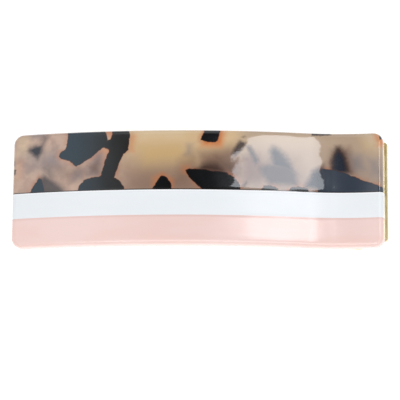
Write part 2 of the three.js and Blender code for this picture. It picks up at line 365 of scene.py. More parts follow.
def plate_stations():
    """Places along the plate, close together where its ends and corners round over."""
    insets = quarter_insets(PLATE_EDGE_RADIUS, EDGE_STEPS)
    insets += quarter_insets(PLATE_CORNER_RADIUS, CORNER_STEPS)
    insets += quarter_insets(BOTTOM_EDGE_RADIUS, BOTTOM_EDGE_STEPS)
    ends = spread(insets, LEAST_SPACING)
    inner = steps(-HALF_LENGTH + ends[-1], HALF_LENGTH - ends[-1], PLATE_SPACING)
    left = [-HALF_LENGTH + inset for inset in ends]
    right = [HALF_LENGTH - inset for inset in ends]
    return spread(left + inner + right, LEAST_SPACING)


def seam_dip(y, seam):
    """The polished face sinks a little to the cemented seam between two stripes."""
    return SEAM_DEPTH * math.exp(-(((y - seam) / SEAM_REACH) ** 2))


def acetate_bar(name, low, high):
    """One stripe of the plate, with its outer edges rounded and its seams slightly sunk."""
    rounded_low = low <= -HALF_WIDTH
    rounded_high = high >= HALF_WIDTH
    seams = [edge for edge in (PINK_EDGE, WHITE_EDGE) if edge in (low, high)]
    edge_insets = quarter_insets(PLATE_EDGE_RADIUS, EDGE_STEPS)
    edge_insets += quarter_insets(BOTTOM_EDGE_RADIUS, BOTTOM_EDGE_STEPS)
    edge_insets = spread(edge_insets, LEAST_SPACING)
    seam_insets = [SEAM_REACH * step / 3 for step in range(7)]
    inner_low = low + PLATE_CORNER_RADIUS if rounded_low else low + seam_insets[-1]
    inner_high = high - PLATE_CORNER_RADIUS if rounded_high else high - seam_insets[-1]
    inner = steps(inner_low, inner_high, SURFACE_SPACING)

    def section(x):
        reach = plate_half_width(x)
        start = -reach if rounded_low else low
        end = reach if rounded_high else high
        low_insets = edge_insets if rounded_low else seam_insets
        high_insets = edge_insets if rounded_high else seam_insets
        across = [start + inset for inset in low_insets]
        share = [(place - inner_low) / (inner_high - inner_low) for place in inner]
        first = across[-1]
        last = end - high_insets[-1]
        across += [first + (last - first) * part for part in share[1:-1]]
        across += [end - inset for inset in reversed(high_insets)]
        under = []
        top = []
        for y in across:
            inside = distance_inside(x, y)
            dip = sum(seam_dip(y, seam) for seam in seams)
            under.append(on_bow(x, y, edge_drop(inside, BOTTOM_EDGE_RADIUS)))
            lift = PLATE_THICKNESS - edge_drop(inside, PLATE_EDGE_RADIUS) - dip
            top.append(on_bow(x, y, lift))
        return under + top[::-1]

    points, faces = loft([section(x) for x in plate_stations()])
    return make_piece(name, points, faces)


# ---- Glue film ----


def glue_film():
    """Cured glue between plate and clip, with a slightly wavy, bulging squeeze-out edge."""
    start = JAW_TIP + GLUE_INSET
    end = HALF_LENGTH - GLUE_INSET
    radius = GLUE_CORNER_RADIUS
    half = JAW_HALF - GLUE_INSET - GLUE_SWELL

    def section(x):
        near = min(x - start, end - x)
        short = max(0.0, radius - near)
        reach = half - radius + math.sqrt(max(0.0, radius**2 - short**2))
        wave = 0.6 * math.sin(0.83 * x) + 0.4 * math.sin(2.1 * x + 1.3)
        reach += GLUE_SWELL * wave * min(1, near / radius)
        loop = []
        for side in (-1, 1):
            for step in range(-3, 4):
                angle = step * math.pi / 6
                bulge = GLUE_BULGE * (math.cos(angle) - 1)
                lift = UNDER_GLUE / 2 * (1 + side * math.sin(angle))
                loop.append(on_bow(x, side * (reach + bulge), lift))
        return loop

    insets = quarter_insets(radius, 8)
    places = [start + inset for inset in insets] + [end - inset for inset in insets]
    places += steps(start + radius, end - radius, SURFACE_SPACING)
    points, faces = loft([section(x) for x in spread(places, LEAST_SPACING)])
    return make_piece("adhesive_line", points, faces)


# ---- Folded sheet metal ----


def fold(across, flat_half, down):
    """Where a place of the flat blank lies across the sheet and off it, once folded."""
    beyond = abs(across) - flat_half
    if beyond <= 0:
        return across, 0.0
    angle = min(beyond / FOLD_RADIUS, math.pi / 2)
    straight = max(0.0, beyond - FOLD_RADIUS * math.pi / 2)
    off = FOLD_RADIUS * (1 - math.cos(angle)) + straight
    reach = flat_half + FOLD_RADIUS * math.sin(angle)
    return math.copysign(reach, across), -off if down else off


def unfolded(off):
    """How far beyond the flat part of the blank a point this far off the sheet lies."""
    if off <= FOLD_RADIUS:
        return FOLD_RADIUS * math.acos(1 - off / FOLD_RADIUS)
    return FOLD_RADIUS * math.pi / 2 + off - FOLD_RADIUS


def subdivided(outline, spacing):
    """A closed outline with more points, so that its cut edge can follow a curved sheet."""
    points = []
    for a, b in zip(outline, outline[1:] + outline[:1]):
        count = max(1, math.ceil((b - a).length / spacing))
        points += [a.lerp(b, i / count) for i in range(count)]
    return points


def inside_outline(point, outline):
    crossings = 0
    for a, b in zip(outline, outline[1:] + outline[:1]):
        if (a.y > point.y) != (b.y > point.y):
            share = (point.y - a.y) / (b.y - a.y)
            crossings += point.x < a.x + share * (b.x - a.x)
    return crossings % 2 == 1


def clear_of(point, loops, least):
    for loop in loops:
        for corner in loop:
            if abs(corner.x - point.x) < least and (corner - point).length < least:
                return False
    return True


def sheet_part(name, outline, holes, rows, surface):
    """A stamped and folded part: its flat blank is meshed, folded and given its thickness."""
    outline = subdivided(outline, OUTLINE_SPACING)
    columns = steps(min(p.x for p in outline), max(p.x for p in outline), SURFACE_SPACING)

    def in_hole(point):
        return any(inside_outline(point, hole) for hole in holes)

    def free(point):
        if not inside_outline(point, outline) or in_hole(point):
            return False
        return clear_of(point, [outline, *holes], OUTLINE_CLEARANCE)

    filling = [Vector((x, y)) for x in columns for y in rows]
    filling = [point for point in filling if free(point)]
    points = []
    edges = []
    for loop in [outline, *holes]:
        first = len(points)
        points += loop
        edges += [(first + i, first + (i + 1) % len(loop)) for i in range(len(loop))]
    made = geometry.delaunay_2d_cdt(points + filling, edges, [], 1, 1e-6)
    flat, triangles = made[0], made[2]

    def centre(face):
        return sum((flat[i] for i in face), Vector((0, 0))) / len(face)

    kept = [face for face in triangles if not in_hole(centre(face))]
    used = sorted({i for face in kept for i in face})
    place = {old: new for new, old in enumerate(used)}
    piece = make_piece(
        name,
        [surface(flat[i].x, flat[i].y) for i in used],
        [tuple(place[i] for i in face) for face in kept],
    )
    thicken = piece.modifiers.new("sheet", "SOLIDIFY")
    thicken.thickness = SHEET_THICKNESS * MM
    thicken.offset = 0
    thicken.use_even_offset = True
    thicken.use_quality_normals = True
    rounded = piece.modifiers.new("cut edge", "BEVEL")
    rounded.width = CUT_EDGE_RADIUS * MM
    rounded.segments = 2
    rounded.limit_method = "ANGLE"
    rounded.angle_limit = math.radians(50)
    rounded.harden_normals = False
    apply_modifiers(piece)
    smooth(piece, 40)
    return piece


def arc(centre, radius, start, end, count):
    """Points of an arc between two angles in degrees."""
    angles = [math.radians(start + (end - start) * i / count) for i in range(count + 1)]
    return [centre + radius * Vector((math.cos(a), math.sin(a))) for a in angles]


def mirrored(half_outline):
    """A closed outline from its half on the +Y side."""
    return half_outline + [Vector((p.x, -p.y)) for p in reversed(half_outline)]


def ear_flap(station, flat_half, pin_off):
    """Outline of one ear on the blank, from one end of its foot to the other."""
    side_offs = [pin_off * i / 8 for i in range(9)]
    narrowing = (EAR_FOOT_HALF - EAR_RADIUS) / pin_off
    going = [
        Vector((station - EAR_FOOT_HALF + narrowing * off, flat_half + unfolded(off)))
        for off in side_offs
    ]
    top = Vector((station, flat_half + unfolded(pin_off)))
    around = arc(top, EAR_RADIUS, 180, 0, 20)
    back = [Vector((2 * station - point.x, point.y)) for point in reversed(going)]
    return going + around[1:-1] + back


def relief(station, edge_half, flat_half, flap):
    """An ear with the notches that free its fold from the edge of the sheet."""
    foot = EAR_FOOT_HALF
    notch = flat_half - RELIEF_DEPTH
    return [
        Vector((station - foot - RELIEF_WIDTH, edge_half)),
        Vector((station - foot - RELIEF_WIDTH, notch)),
        Vector((station - foot, notch)),
        *flap,
        Vector((station + foot, notch)),
        Vector((station + foot + RELIEF_WIDTH, notch)),
        Vector((station + foot + RELIEF_WIDTH, edge_half)),
    ]


def bore(station, flat_half, pin_off, side):
    centre = Vector((station, side * (flat_half + unfolded(pin_off))))
    return arc(centre, BORE_RADIUS, 0, 345, 23)


def blank_rows(flat_half, highest_off):
    """Places across the blank where its mesh has points, dense over the folds."""
    rows = steps(-flat_half, flat_half, 0.9)
    bend = steps(flat_half, flat_half + FOLD_RADIUS * math.pi / 2, 0.16)
    wall = steps(bend[-1], flat_half + unfolded(highest_off), 0.5)
    for place in bend[1:] + wall[1:]:
        rows += [place, -place]
    return rows


def upper_jaw():
    """The sheet glued under the plate, with two ears folded down round the pin."""
    middle = (UNDER_JAW + UNDER_GLUE) / 2
    pin_off = middle - (UNDER_JAW - JAW_FROM_PIN)
    flat_half = JAW_HALF - SHEET_THICKNESS / 2 - FOLD_RADIUS
    corner = Vector((JAW_TIP + JAW_CORNER_RADIUS, JAW_HALF - JAW_CORNER_RADIUS))
    rear = Vector((JAW_END - SHEET_THICKNESS, JAW_HALF - SHEET_THICKNESS))
    flap = ear_flap(PIN_STATION, flat_half, pin_off)
    half = [
        *arc(corner, JAW_CORNER_RADIUS, 180, 90, 12),
        *relief(PIN_STATION, JAW_HALF, flat_half, flap),
        *arc(rear, SHEET_THICKNESS, 90, 0, 6),
    ]
    foot_start = PIN_STATION - EAR_FOOT_HALF - RELIEF_WIDTH / 2
    foot_end = PIN_STATION + EAR_FOOT_HALF + RELIEF_WIDTH / 2

    def surface(along, across):
        if not foot_start < along < foot_end:
            return on_bow(along, across, middle)
        reach, off = fold(across, flat_half, down=True)
        return on_bow(along, reach, middle + off)

    holes = [bore(PIN_STATION, flat_half, pin_off, side) for side in (1, -1)]
    rows = blank_rows(flat_half, pin_off + EAR_RADIUS)
    return sheet_part("upper_jaw_sheet", mirrored(half), holes, rows, surface)


def lower_jaw_path():
    """The lower jaw's middle surface as points of the clip's plane, toe first."""
    def quadratic(a, b, c, count):
        shares = [i / count for i in range(count + 1)]
        return [a * (1 - t) ** 2 + b * 2 * t * (1 - t) + c * t**2 for t in shares]

    def line(a, b):
        return [a.lerp(b, t) for t in steps(0, 1, 0.3 / (b - a).length)]

    under = line(TOE_END, TOE_START)[:-1]
    under += quadratic(TOE_START, GRIP_CROWN, GRIP_END, 170)[:-1]
    bend_start = LIP_START - TAB_ALONG * LIP_BEND
    bend_end = LIP_START + GROUND * LIP_BEND
    under += line(GRIP_END, bend_start)[:-1]
    under += quadratic(bend_start, LIP_START, bend_end, 8)[:-1]
    under += line(bend_end, LIP_END)
    under = smoothed(under, 6)
    middle = []
    for i, point in enumerate(under):
        along = direction_at(under, i)
        middle.append(point + Vector((-along.y, along.x)) * SHEET_THICKNESS / 2)
    return middle


def lower_jaw():
    """The moving jaw: toe, toothed grip, waist with two ears, thumb tab and lip."""
    path = lower_jaw_path()
    distances = [0.0]
    for a, b in zip(path, path[1:]):
        distances.append(distances[-1] + (b - a).length)
    end = distances[-1]
    nearest = min(range(len(path)), key=lambda i: (path[i] - PIN).length)
    station = distances[nearest]
    pin_off = JAW_FROM_PIN + SHEET_THICKNESS / 2
    tab_half = JAW_HALF - TAB_INSET
    grip_flat = JAW_HALF - SHEET_THICKNESS / 2 - FOLD_RADIUS
    ear_flat = LOWER_EAR_FACE - SHEET_THICKNESS / 2 - FOLD_RADIUS
    waist_half = EAR_FOOT_HALF + WAIST_CLEARANCE
    teeth_start = TEETH_FROM_TIP
    count = math.floor((station - TEETH_FROM_PIN - teeth_start) / TOOTH_PITCH)
    teeth_end = teeth_start + count * TOOTH_PITCH

    valley = grip_flat + unfolded(SHEET_THICKNESS / 2 + TOOTH_ROOT_LIFT)
    peak = grip_flat + unfolded(SHEET_THICKNESS / 2 + TOOTH_HEIGHT)
    teeth = []
    for i in range(count):
        x = teeth_start + i * TOOTH_PITCH
        teeth += [
            Vector((x + TOOTH_ROOT_FLAT, valley)),
            Vector((x + TOOTH_PITCH / 2 - TOOTH_TIP_FLAT, peak)),
            Vector((x + TOOTH_PITCH / 2 + TOOTH_TIP_FLAT, peak)),
            Vector((x + TOOTH_PITCH - TOOTH_ROOT_FLAT, valley)),
        ]
    notch = grip_flat - RELIEF_DEPTH
    grip = [
        Vector((teeth_start - RELIEF_WIDTH, JAW_HALF)),
        Vector((teeth_start - RELIEF_WIDTH, notch)),
        Vector((teeth_start, notch)),
        *teeth,
        Vector((teeth_end, notch)),
        Vector((teeth_end + RELIEF_WIDTH, notch)),
        Vector((teeth_end + RELIEF_WIDTH, JAW_HALF)),
    ]
    toe = Vector((JAW_CORNER_RADIUS, JAW_HALF - JAW_CORNER_RADIUS))
    tab = Vector((end - TAB_CORNER_RADIUS, tab_half - TAB_CORNER_RADIUS))
    soft = WAIST_SHOULDER / 2
    half = [
        *arc(toe, JAW_CORNER_RADIUS, 180, 90, 12),
        *grip,
        *arc(Vector((station - waist_half - 2 * soft, JAW_HALF - soft)), soft, 90, 0, 5),
        *arc(Vector((station - waist_half, LOWER_EAR_FACE + soft)), soft, 180, 270, 5),
        *relief(station, LOWER_EAR_FACE, ear_flat, ear_flap(station, ear_flat, pin_off)),
        *arc(Vector((station + waist_half, LOWER_EAR_FACE + soft)), soft, 270, 360, 5),
        *arc(Vector((station + waist_half + 2 * soft, tab_half - soft)), soft, 180, 90, 5),
        *arc(tab, TAB_CORNER_RADIUS, 90, 0, 12),
    ]
    ear_zone = EAR_FOOT_HALF + RELIEF_WIDTH / 2
    grip_start = teeth_start - RELIEF_WIDTH / 2
    grip_end = teeth_end + RELIEF_WIDTH / 2

    def surface(along, across):
        reach, off = across, 0.0
        if abs(along - station) < ear_zone:
            reach, off = fold(across, ear_flat, down=False)
        elif grip_start < along < grip_end:
            reach, off = fold(across, grip_flat, down=False)
        i = min(max(bisect.bisect_right(distances, along), 1), len(path) - 1)
        share = (along - distances[i - 1]) / (distances[i] - distances[i - 1])
        point = path[i - 1].lerp(path[i], share)
        tangent = (path[i] - path[i - 1]).normalized()
        point += Vector((-tangent.y, tangent.x)) * off
        return Vector((point.x, reach, point.y))

    holes = [bore(station, ear_flat, pin_off, side) for side in (1, -1)]
    rows = blank_rows(ear_flat, pin_off + EAR_RADIUS)
    tooth_rows = steps(grip_flat + FOLD_RADIUS / 2, valley, 0.25)
    rows += [side * place for side in (1, -1) for place in tooth_rows]
    rows = spread(rows, 0.1)
    return sheet_part("lower_jaw_sheet", mirrored(half), holes, rows, surface)


# ---- Pin and spring ----


def hinge_pin():
    """A headed pin, turned about its own axis, with low domed heads."""
    shaft_half = JAW_HALF + BORE_CLEARANCE
    head_radius = PIN_RADIUS + PIN_HEAD_LAP
    dome_start = shaft_half + PIN_RIM
    dome_rise = PIN_HEAD_THICKNESS - PIN_RIM
    profile = [
        (PIN_RADIUS, 0),
        (PIN_RADIUS, shaft_half),
        (head_radius - PIN_RIM_CHAMFER, shaft_half),
        (head_radius, shaft_half + PIN_RIM_CHAMFER),
    ]
    for angle in [math.radians(9 * i) for i in range(10)]:
        lift = dome_start + dome_rise * math.sin(angle)
        profile.append((head_radius * math.cos(angle), lift))
    whole = [(radius, -y) for radius, y in reversed(profile[1:])] + profile

    def ring(radius, y):
        return [
            (PIN.x + radius * math.cos(a), y, PIN.y + radius * math.sin(a))
            for a in ring_angles(PIN_SIDES)
        ]

    points, faces = loft([ring(radius, y) for radius, y in whole])
    return make_piece("hinge_pin_turned", points, faces)


def spring_route():
    """The wire's centre line, from the end of the upper leg to the end of the lower one."""
    lift = LEG_TOUCH_GAP + WIRE_RADIUS
    upper_end = bow_point(PIN_STATION + LEG_REACH, UNDER_JAW - lift)
    lower_end = UNDER_PIN + TAB_ALONG * LEG_REACH + TAB_NORMAL * (SHEET_THICKNESS + lift)

    def touch(end, side):
        to_end = end - PIN
        return math.atan2(to_end.y, to_end.x) + side * math.acos(COIL_RADIUS / to_end.length)

    start = touch(upper_end, 1)
    finish = touch(lower_end, -1) + 2 * math.pi * (WHOLE_TURNS + 1)
    width = (finish - start) / (2 * math.pi) * COIL_PITCH
    coil = []
    for angle in steps(start, finish, 2 * math.pi / COIL_STEPS):
        share = (angle - start) / (finish - start)
        x = PIN.x + COIL_RADIUS * math.cos(angle)
        z = PIN.y + COIL_RADIUS * math.sin(angle)
        coil.append(Vector((x, width / 2 - share * width, z)))

    def leg(end, y, root):
        tip = Vector((end.x, y, end.y))
        return [tip.lerp(root, part) for part in steps(0, 1, 0.8 / LEG_REACH)]

    upper = leg(upper_end, width / 2, coil[0])
    lower = leg(lower_end, -width / 2, coil[-1])
    return smoothed(upper[:-1] + coil + lower[-2::-1], 3)


def torsion_spring():
    """A round wire swept along its route, with its cut ends slightly chamfered."""
    route = spring_route()
    route = [route[0], route[0].lerp(route[1], WIRE_END_CHAMFER), *route[1:]]
    route = [*route[:-1], route[-1].lerp(route[-2], WIRE_END_CHAMFER), route[-1]]
    loops = []
    normal = Vector((0, 1, 0))
    for i, point in enumerate(route):
        along = direction_at(route, i)
        normal = (normal - along * normal.dot(along)).normalized()
        other = along.cross(normal)
        radius = WIRE_RADIUS * (WIRE_END_WIDTH if i in (0, len(route) - 1) else 1)
        loops.append([
            point + radius * (normal * math.cos(a) + other * math.sin(a))
            for a in ring_angles(WIRE_SIDES)
        ])
    points, faces = loft(loops)
    return make_piece("torsion_spring_wire", points, faces)


# ---- Materials ----


class Nodes:
    """A node tree, built socket by socket."""

    def __init__(self, tree):
        self.tree = tree

    def put(self, socket, value):
        """Sets an input socket to a number or colour, or links it to another socket."""
        if isinstance(value, bpy.types.NodeSocket):
            self.tree.links.new(value, socket)
        elif value is not None:
            socket.default_value = value

    def node(self, kind, *inputs, **settings):
        made = self.tree.nodes.new(kind)
        for setting, value in settings.items():
            setattr(made, setting, value)
        for socket, value in zip(made.inputs, inputs):
            self.put(socket, value)
        return made

    def math(self, operation, *inputs):
        return self.node("ShaderNodeMath", *inputs, operation=operation).outputs[0]

    def vector(self, operation, *inputs, output=0):
        made = self.node("ShaderNodeVectorMath", *inputs, operation=operation)
        return made.outputs[output]

    def parts(self, vector):
        return self.node("ShaderNodeSeparateXYZ", vector).outputs

    def joined(self, *parts):
        return self.node("ShaderNodeCombineXYZ", *parts).outputs[0]

    def ramp(self, value, low, high, start=0.0, end=1.0):
        """Smoothly from start, where value is low, to end, where it is high."""
        made = self.node("ShaderNodeMapRange", value, low, high, start, end)
        made.interpolation_type = "SMOOTHSTEP"
        return made.outputs[0]

    def mix(self, factor, first, second):
        made = self.tree.nodes.new("ShaderNodeMix")
        made.data_type = "RGBA"
        self.put(made.inputs["Factor"], factor)
        self.put(made.inputs[6], first)
        self.put(made.inputs[7], second)
        return made.outputs[2]

    def noise(self, place, scale, detail=2.0, roughness=0.5, colour=False):
        made = self.node("ShaderNodeTexNoise")
        self.put(made.inputs["Vector"], place)
        self.put(made.inputs["Scale"], scale)
        self.put(made.inputs["Detail"], detail)
        self.put(made.inputs["Roughness"], roughness)
        return made.outputs["Color" if colour else "Fac"]


class Shader(Nodes):
    """A procedural material."""

    def __init__(self, name, **values):
        self.material = bpy.data.materials.new(name)
        self.material.use_nodes = True
        super().__init__(self.material.node_tree)
        self.surface = self.tree.nodes["Principled BSDF"]
        for socket, value in values.items():
            self.surface.inputs[socket.replace("_", " ")].default_value = value

    def finished(self, **values):
        """The material, with these sockets of its surface set or linked."""
        for socket, value in values.items():
            self.put(self.surface.inputs[socket.replace("_", " ")], value)
        return self.material

    def bump(self, height, depth, below=None):
        """A bump of this real depth in millimetres, on top of another one."""
        made = self.node("ShaderNodeBump")
        made.inputs["Strength"].default_value = 1.0
        made.inputs["Distance"].default_value = depth * MM
        self.put(made.inputs["Height"], height)
        self.put(made.inputs["Normal"], below)
        return made.outputs["Normal"]

    def place_mm(self):
        """Places on the part in millimetres, in the clip's own plane."""
        coordinates = self.node("ShaderNodeTexCoord").outputs["Object"]
        scaled = self.vector("SCALE", coordinates)
        scaled.node.inputs["Scale"].default_value = 1 / MM
        turn = self.node("ShaderNodeMapping", scaled, vector_type="TEXTURE")
        turn.inputs["Location"].default_value = CLIP_ORIGIN
        turn.inputs["Rotation"].default_value = (0, -REST_TILT, 0)
        return turn.outputs["Vector"]


def colour(red, green, blue):
    """A colour from its 0-255 screen values."""
    def linear(value):
        share = value / 255
        return share / 12.92 if share <= 0.04045 else ((share + 0.055) / 1.055) ** 2.4

    return (linear(red), linear(green), linear(blue), 1.0)


def acetate(name, **values):
    """Polished cellulose acetate: a clear coat over a satin body."""
    defaults = {"Roughness": 0.22, "IOR": 1.48, "Coat_Weight": 1.0}
    defaults |= {"Coat_Roughness": 0.02, "Coat_IOR": 1.5, "Specular_IOR_Level": 0.35}
    return Shader(name, **(defaults | values))


# Depths of the marks that polishing leaves. The dip in the face starts and ends at these
# places along the plate, and the ripples fade in toward it.
WAVE_DEPTH = 0.08
RIPPLE_DEPTH = 0.011
RIPPLE_FADE = (13.0, 25.0)
DIP_DEPTH = 0.2
DIP_REACH = (24.4, 30.4)
HAIRLINE_DEPTH = 0.0018


def polished(shader, place, body):
    """An acetate body with the slight waviness and hairline marks of hand polishing."""
    along = shader.parts(place)["X"]
    normal = shader.bump(shader.noise(place, 0.16, 1.0, 0.4), WAVE_DEPTH)
    ripples = shader.noise(place, 0.5, 1.0, 0.4)
    ripples = shader.math("MULTIPLY", ripples, shader.ramp(along, *RIPPLE_FADE))
    normal = shader.bump(ripples, RIPPLE_DEPTH, normal)
    normal = shader.bump(shader.ramp(along, *DIP_REACH), DIP_DEPTH, normal)
    hairlines = shader.noise(shader.vector("MULTIPLY", place, (0.5, 2.2, 2.2)), 1.1, 4.0, 0.55)
    normal = shader.bump(hairlines, HAIRLINE_DEPTH, normal)
    return shader.finished(Base_Color=body, Normal=normal, Coat_Normal=normal)


# How far the tortoise marks lean for each millimetre of depth, how far their outlines
# wander, how rounded and joined they are, and how wide their edges are.
LEAN = (0.45, -0.3)
CRISP_WANDER = 0.35
BLURRED_WANDER = 0.45
FLUTTER = 0.2
CORNER_ROUNDING = 0.35
FLECK_JOINING = 0.3
HALO_WIDTH = 1.4
HALO_STRENGTH = 0.5
FRINGE_WIDTH = 0.22
CORE_EDGE = 0.12
SEAM_LINE = (0.34, 0.06)

# Crisp dark flecks, each a convex outline of (along, across) corners in millimetres. Most are the
# tortoise's own marks; the two thin ones just above the seam and the last one, at the right end's
# top corner, are painted light.
FLECKS = [
    [
        (-29.5, 15), (-22.1, 15), (-21, 11.6), (-21.3, 9.9),
        (-24.3, 7.3), (-27.9, 5), (-29.4, 6.3), (-30.5, 9),
    ],
    [(-32.1, 7.5), (-31.7, 8.4), (-30, 9.8), (-28.5, 6.2), (-31.4, 6.9)],
    [(-18.8, 15), (-15.8, 15), (-16, 11), (-16.2, 8.5), (-17.6, 7.5), (-20, 8.3), (-20.4, 10.6)],
    [(-22, 9.4), (-21.3, 10.7), (-20, 10.9), (-18.5, 9), (-20.4, 8.6)],
    [(-20.4, 8.8), (-17.4, 7.6), (-19.4, 2), (-22.3, 2), (-21.7, 5.1)],
    [
        (-27.6, -2), (-27.2, 0.6), (-26, 1.8), (-22.1, 2.5),
        (-20.2, 2.4), (-18.3, 1.5), (-17.2, 0), (-16.6, -2),
    ],
    [(-39, -2), (-37.8, 0.8), (-36.6, 2.6), (-36, 2.2), (-35, -2)],
    [(-10.9, -2), (-9.4, 1.6), (-8.6, 2.3), (-7.5, 2), (-6.4, 0.8), (-6.2, -2)],
    [(1.9, 15), (5.5, 15), (3.6, 10.2), (2.4, 10.2), (0.3, 10.7)],
    [
        (-3.2, 3.5), (-2.6, 3.9), (0, 3.9), (5.6, 3.2), (7.8, 2.1),
        (8.9, 0.5), (9.7, -2), (2.2, -2), (-2.2, 1.8),
    ],
    [
        (26.8, -2), (26.9, 2.4), (27.5, 4.5), (28.4, 4.7),
        (33.7, 3.4), (38.4, 1.5), (42.8, -0.4), (42.8, -2),
    ],
    # Painted shade: these two thin flecks stand for gaps in the overhead softbox's reflection where
    # the face sinks to the seam.
    [(13.9, -1), (14.6, 0.3), (15.6, 0.45), (17.6, -0.3), (17.6, -1)],
    [(20, -1), (20.8, 0.1), (22.6, 0.35), (24.4, -0.1), (24.8, -1)],
    # Painted dark reflection: this fleck stands for dark surroundings reflected in the rounded
    # corner.
    [(40.7, 11.5), (40.9, 12.2), (42, 12.6), (42.6, 12.2)],
]

# Blurred marks deeper in the acetate, and two painted dark reflections on the left end's rounded
# edge, grouped by what they tint the body to.
# Each is an outline with how far its edge is blurred and how strong it is.
HAZE = [
    (2.5, 0.45, [(-40, 8.5), (-33, 9), (-32, 4), (-39, 4.5)]),
    (1.6, 0.6, [(-35.6, 8), (-32.6, 8.4), (-31.8, 5), (-35, 5)]),
    (1.2, 0.5, [(-39, 13.5), (-35, 13.5), (-35.4, 12.2), (-38.4, 12)]),
    (1.1, 0.6, [(-28.6, 3.8), (-26.6, 4), (-26.6, 2), (-28.6, 2)]),
    (1.4, 0.5, [(-25, 7), (-22.6, 8.6), (-22, 5), (-24.4, 4)]),
    (1.2, 0.75, [(-25.2, 4.6), (-23, 5), (-23, 2.8), (-25.2, 2.8)]),
    (1.8, 0.6, [(33.6, 8), (36.4, 7.6), (37.4, 4.6), (34, 4)]),
    (1.4, 0.45, [(38, 7), (40, 6.6), (41.4, 2.4), (38.8, 3.4)]),
    (1, 0.4, [(-3, 9.6), (-1.6, 9.6), (-2, 7), (-3.4, 7)]),
]
MAUVE = [
    (2.4, 0.5, [(-33, 5), (-26, 5), (-22, 2), (-31, 2)]),
    (1.8, 0.95, [(-25.4, 5), (-22.6, 7), (-22.4, 3), (-25, 2.8)]),
    (2.6, 0.12, [(-16.6, 4), (-6, 4.6), (-6, -1), (-16, -1)]),
    (2.2, 0.5, [(-4.4, 5.6), (-1, 7.6), (0, 3.6), (-3, 0.4), (-6, 0.4)]),
    (2.4, 0.8, [(0, 7.6), (8, 9.4), (11, 4), (8, 1), (0, 3)]),
    (2, 0.9, [(9, 7.4), (13.6, 7.6), (16, 4.6), (14, 0.6), (10, 0.6)]),
    (2.6, 0.5, [(12, 8), (22, 7), (24, 0), (12, 0)]),
    (1.6, 0.8, [(30, 8.8), (33.6, 9.4), (34.6, 4), (29, 4)]),
]
BROWN = [
    (1.3, 0.95, [(-0.6, 4), (0.8, 5.2), (4, 5.4), (5.4, 4.2), (5.6, 3), (0, 3.4)]),
    (1.4, 0.35, [(4, 6.4), (7.6, 5.4), (8.6, 3), (5, 3)]),
    (0.6, 0.95, [(7.3, 7.4), (8, 9.4), (9.2, 10.8), (10.4, 10.2), (9.4, 8.2), (7.9, 7)]),
    (0.35, 0.6, [(9.4, 11.5), (10.1, 11.8), (10.5, 11.5), (10, 11.2)]),
    (0.4, 0.7, [(9.6, 0.2), (10.4, 1.4), (10.9, 1), (10.4, 0)]),
    (0.9, 0.95, [(29.6, 4), (29.9, 8), (30.8, 9.8), (32, 9.8), (33, 8), (34, 4)]),
    (0.2, 1.0, [(25.4, 12.5), (29.8, 12.5), (29.8, 15), (25.4, 15)]),
    # Painted dark reflections: these two small marks on the left end's rounded edge stand for dark
    # surroundings reflected there.
    (0.15, 0.8, [(-43, 7), (-42.2, 7), (-42.2, 6), (-43, 6)]),
    (0.15, 0.8, [(-43, 5.2), (-42.1, 5), (-42.1, 3.8), (-43, 3.6)]),
]
SLATE = [
    (0.8, 1.0, [(-39.2, 9.3), (-38, 10.3), (-35.8, 10.6), (-36, 8.6), (-37.1, 7.2)]),
    (0.8, 0.6, [(-36.9, 10.2), (-36.1, 9.4), (-34.6, 12.2), (-35.6, 12.6)]),
    (1.1, 0.85, [(-38, -2), (-36.9, 1.6), (-35.6, 3.4), (-33.4, 2.2), (-30.8, -0.2), (-30.4, -2)]),
    (1.2, 0.5, [(-35.4, 5), (-34, 5), (-33, 2), (-35, 2)]),
    (0.8, 0.9, [(10.3, 9.4), (11.4, 9.4), (13.4, 6), (12.6, 5.2)]),
    (1.2, 0.95, [(15.8, 8.4), (16.4, 9.4), (17.6, 9.2), (19.8, 7), (21.6, 3.6), (16.4, 4.6)]),
    (1.1, 0.8, [
        (13.6, 4.4), (15.2, 5.4), (20, 5.6), (21.6, 3.6), (22.2, 0.6), (16, 0.6), (13.8, 3),
    ]),
    (1, 1.0, [(23.6, 0), (25.4, 4), (28, 5.4), (28, 0)]),
    (0.8, 1.0, [(30.1, 4), (30.3, 7.2), (31, 8.6), (32, 8.4), (32.8, 6.8), (33.3, 3.6)]),
]
HONEY = [
    (2.8, 0.75, [(-14, 9.4), (-5, 9.6), (-3, 6.6), (-12, 5.4)]),
    (1.6, 0.3, [(36, 12), (41, 11), (41, 8), (37, 9)]),
]
PALE = [
    (2, 0.8, [(-15, 14), (-2, 14), (-4, 11), (-13, 11)]),
    (1.6, 0.4, [(36, 13.6), (41, 13.6), (41, 9), (38, 10)]),
    (1.4, 0.45, [(-42, 13), (-39, 13), (-39, 8), (-42, 8)]),
    (1.6, 0.15, [(10, 13), (27, 13), (26, 10), (12, 10.6)]),
]
ORANGE = [
    (1.3, 1.0, [(1.2, 14), (5.6, 14), (4.8, 9.4), (0.6, 9.4)]),
    (1, 0.75, [(39.8, 12.4), (42, 12.4), (42, 9.4), (40.2, 10)]),
    (1, 0.3, [(-4, 4.6), (-2.4, 4.8), (-2.4, 2.6), (-3.6, 3)]),
    (0.9, 0.4, [(-10.6, 2), (-8.6, 3), (-6, 1.6), (-6, 0), (-10.8, 0)]),
    (0.8, 0.45, [(-15.4, 12), (-14.6, 12), (-15, 8), (-15.8, 8)]),
    (0.7, 0.5, [(-22, 14), (-19, 14), (-20.2, 11)]),
    (0.7, 0.4, [(-22.4, 9.2), (-20.6, 9), (-20.8, 7.6), (-22.6, 8)]),
    (1, 0.18, [(-41.8, 7), (-40.6, 7), (-40.6, 3), (-41.8, 3)]),
]


